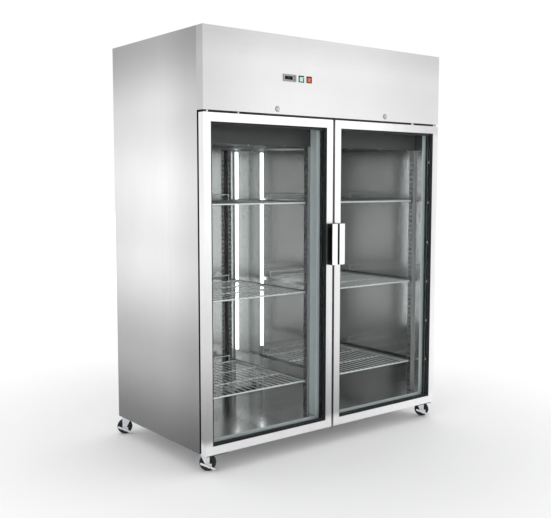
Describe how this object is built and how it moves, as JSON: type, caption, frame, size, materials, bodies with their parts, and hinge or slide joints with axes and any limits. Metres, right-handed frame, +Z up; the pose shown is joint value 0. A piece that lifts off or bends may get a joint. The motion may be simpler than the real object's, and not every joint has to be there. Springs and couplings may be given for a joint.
{
  "type": "reach in refrigerator",
  "caption": "Upright stainless reach-in refrigerator with framed glass doors, wire shelves, a control fascia, a top-mounted machine and locking swivel casters.",
  "frame": {"origin": "on the floor, under the centre of the cabinet over its door handles and back panel", "axes": "+Z up, +Y to the back, doors face -Y, +X to the right of someone facing the doors"},
  "size_m": [1.5184, 0.8569, 1.94],
  "materials": {
    "side_steel": "brushed",
    "sheet_steel": "satin",
    "fascia_steel": "brushed",
    "frame_steel": "brushed",
    "foam": "closed-cell foam",
    "liner_steel": "bright",
    "hinge_steel": "satin",
    "duct_steel": "satin",
    "lamp": "opal",
    "support_steel": "satin",
    "shelf_wire": "polished",
    "housing_steel": "satin",
    "coil_aluminium": "mill",
    "white_plastic": "moulded",
    "machine_black": "satin",
    "fan_blade": "mill",
    "copper": "drawn",
    "box_grey": "powder coat",
    "controller_plastic": "moulded",
    "key_plastic": "moulded",
    "black_plastic": "moulded",
    "rocker_green": "moulded",
    "rocker_orange": "moulded",
    "lock_chrome": "polished",
    "door_steel": "brushed",
    "door_glass": "clear",
    "spacer_black": "matt",
    "gasket_rubber": "matt",
    "handle_steel": "brushed",
    "caster_steel": "zinc plated",
    "brake_steel": "zinc plated",
    "tyre_black": "matt"
  },
  "bodies": {
    "cabinet": {"air_duct": "duct_steel", "back_panel": "sheet_steel", "base_pan": "sheet_steel", "caster_stems": "caster_steel", "compressor": "machine_black", "condenser": "coil_aluminium", "controller": "controller_plastic", "drain_pan": "white_plastic", "electrical_box": "box_grey", "evaporator_coil": "coil_aluminium", "evaporator_housing": "housing_steel", "fan_motors": "machine_black", "fascia": "fascia_steel", "front_frame": "frame_steel", "hinge_plates": "hinge_steel", "inner_liner": "liner_steel", "insulation": "foam", "light_strips": "lamp", "lock_barrels": "lock_chrome", "rear_grille": "sheet_steel", "refrigerant_lines": "copper", "shelf_pilasters": "support_steel", "shelf_runners": "support_steel", "side_panel_left": "side_steel", "side_panel_right": "side_steel", "switch_bezels": "black_plastic", "top_cover": "sheet_steel", "wire_shelves": "shelf_wire"},
    "left_door": {"left_door_frame": "door_steel", "left_door_gasket": "gasket_rubber", "left_door_glass": "door_glass", "left_door_handle_grip": "black_plastic", "left_door_handle_plate": "handle_steel", "left_door_spacer": "spacer_black"},
    "right_door": {"right_door_frame": "door_steel", "right_door_gasket": "gasket_rubber", "right_door_glass": "door_glass", "right_door_handle_grip": "black_plastic", "right_door_handle_plate": "handle_steel", "right_door_spacer": "spacer_black"},
    "lock_cam_left": {"lock_cam_left": "lock_chrome"},
    "lock_cam_right": {"lock_cam_right": "lock_chrome"},
    "key_up": {"key_up": "key_plastic"},
    "key_down": {"key_down": "key_plastic"},
    "rocker_green": {"rocker_green": "rocker_green"},
    "rocker_orange": {"rocker_orange": "rocker_orange"},
    "evaporator_fan": {"evaporator_fan": "fan_blade"},
    "condenser_fan": {"condenser_fan": "fan_blade"},
    "caster_fork_front_left": {"caster_fork_front_left": "caster_steel"},
    "caster_brake_front_left": {"caster_brake_front_left": "brake_steel"},
    "caster_wheel_front_left": {"caster_wheel_front_left": "tyre_black"},
    "caster_fork_front_right": {"caster_fork_front_right": "caster_steel"},
    "caster_brake_front_right": {"caster_brake_front_right": "brake_steel"},
    "caster_wheel_front_right": {"caster_wheel_front_right": "tyre_black"},
    "caster_fork_back_left": {"caster_fork_back_left": "caster_steel"},
    "caster_brake_back_left": {"caster_brake_back_left": "brake_steel"},
    "caster_wheel_back_left": {"caster_wheel_back_left": "tyre_black"},
    "caster_fork_back_right": {"caster_fork_back_right": "caster_steel"},
    "caster_brake_back_right": {"caster_brake_back_right": "brake_steel"},
    "caster_wheel_back_right": {"caster_wheel_back_right": "tyre_black"}
  },
  "joints": [
    {"name": "left_door_hinge", "type": "hinge", "parent": "cabinet", "child": "left_door", "pos_m": [-0.716, -0.3695, 0.834], "axis": [0, 0, -1], "range_deg": [0, 110]},
    {"name": "right_door_hinge", "type": "hinge", "parent": "cabinet", "child": "right_door", "pos_m": [0.716, -0.3695, 0.834], "axis": [0, 0, 1], "range_deg": [0, 110]},
    {"name": "left_lock_turn", "type": "hinge", "parent": "cabinet", "child": "lock_cam_left", "pos_m": [-0.342, -0.3875, 1.611], "axis": [0, -1, 0], "range_deg": [0, 90]},
    {"name": "right_lock_turn", "type": "hinge", "parent": "cabinet", "child": "lock_cam_right", "pos_m": [0.342, -0.3875, 1.611], "axis": [0, -1, 0], "range_deg": [0, 90]},
    {"name": "rocker_green_tip", "type": "hinge", "parent": "cabinet", "child": "rocker_green", "pos_m": [-0.2045, -0.3825, 1.753], "axis": [1, 0, 0], "range_deg": [-14, 0]},
    {"name": "rocker_orange_tip", "type": "hinge", "parent": "cabinet", "child": "rocker_orange", "pos_m": [-0.1575, -0.3825, 1.753], "axis": [1, 0, 0], "range_deg": [-14, 0]},
    {"name": "key_down_press", "type": "slide", "parent": "cabinet", "child": "key_down", "axis": [0, 1, 0], "range_m": [0, 0.0008], "stiffness_N_per_m": 500},
    {"name": "key_up_press", "type": "slide", "parent": "cabinet", "child": "key_up", "axis": [0, 1, 0], "range_m": [0, 0.0008], "stiffness_N_per_m": 500},
    {"name": "evaporator_fan_spin", "type": "hinge", "parent": "cabinet", "child": "evaporator_fan", "pos_m": [0, -0.02, 1.483], "axis": [0, 0, 1], "continuous": true},
    {"name": "condenser_fan_spin", "type": "hinge", "parent": "cabinet", "child": "condenser_fan", "pos_m": [-0.25, -0.1705, 1.725], "axis": [0, 1, 0], "continuous": true},
    {"name": "caster_swivel_front_left", "type": "hinge", "parent": "cabinet", "child": "caster_fork_front_left", "pos_m": [-0.705, -0.3035, 0.09], "axis": [0, 0, 1], "continuous": true},
    {"name": "caster_roll_front_left", "type": "hinge", "parent": "caster_fork_front_left", "child": "caster_wheel_front_left", "pos_m": [-0.6853, -0.31889, 0.0375], "axis": [0.6157, 0.788, 0], "continuous": true},
    {"name": "caster_lever_front_left", "type": "hinge", "parent": "caster_fork_front_left", "child": "caster_brake_front_left", "pos_m": [-0.68627, -0.34288, 0.0195], "axis": [-0.6157, -0.788, 0], "range_deg": [0, 10]},
    {"name": "caster_swivel_front_right", "type": "hinge", "parent": "cabinet", "child": "caster_fork_front_right", "pos_m": [0.705, -0.3035, 0.09], "axis": [0, 0, 1], "continuous": true},
    {"name": "caster_roll_front_right", "type": "hinge", "parent": "caster_fork_front_right", "child": "caster_wheel_front_right", "pos_m": [0.7247, -0.31889, 0.0375], "axis": [0.6157, 0.788, 0], "continuous": true},
    {"name": "caster_lever_front_right", "type": "hinge", "parent": "caster_fork_front_right", "child": "caster_brake_front_right", "pos_m": [0.72373, -0.34288, 0.0195], "axis": [-0.6157, -0.788, 0], "range_deg": [0, 10]},
    {"name": "caster_swivel_back_left", "type": "hinge", "parent": "cabinet", "child": "caster_fork_back_left", "pos_m": [-0.7, 0.3855, 0.09], "axis": [0, 0, 1], "continuous": true},
    {"name": "caster_roll_back_left", "type": "hinge", "parent": "caster_fork_back_left", "child": "caster_wheel_back_left", "pos_m": [-0.7197, 0.40089, 0.0375], "axis": [0.6157, 0.788, 0], "continuous": true},
    {"name": "caster_lever_back_left", "type": "hinge", "parent": "caster_fork_back_left", "child": "caster_brake_back_left", "pos_m": [-0.72067, 0.37691, 0.0195], "axis": [-0.6157, -0.788, 0], "range_deg": [0, 10]},
    {"name": "caster_swivel_back_right", "type": "hinge", "parent": "cabinet", "child": "caster_fork_back_right", "pos_m": [0.7, 0.3855, 0.09], "axis": [0, 0, 1], "continuous": true},
    {"name": "caster_roll_back_right", "type": "hinge", "parent": "caster_fork_back_right", "child": "caster_wheel_back_right", "pos_m": [0.6803, 0.40089, 0.0375], "axis": [0.6157, 0.788, 0], "continuous": true},
    {"name": "caster_lever_back_right", "type": "hinge", "parent": "caster_fork_back_right", "child": "caster_brake_back_right", "pos_m": [0.67933, 0.37691, 0.0195], "axis": [-0.6157, -0.788, 0], "range_deg": [0, 10]}
  ]
}
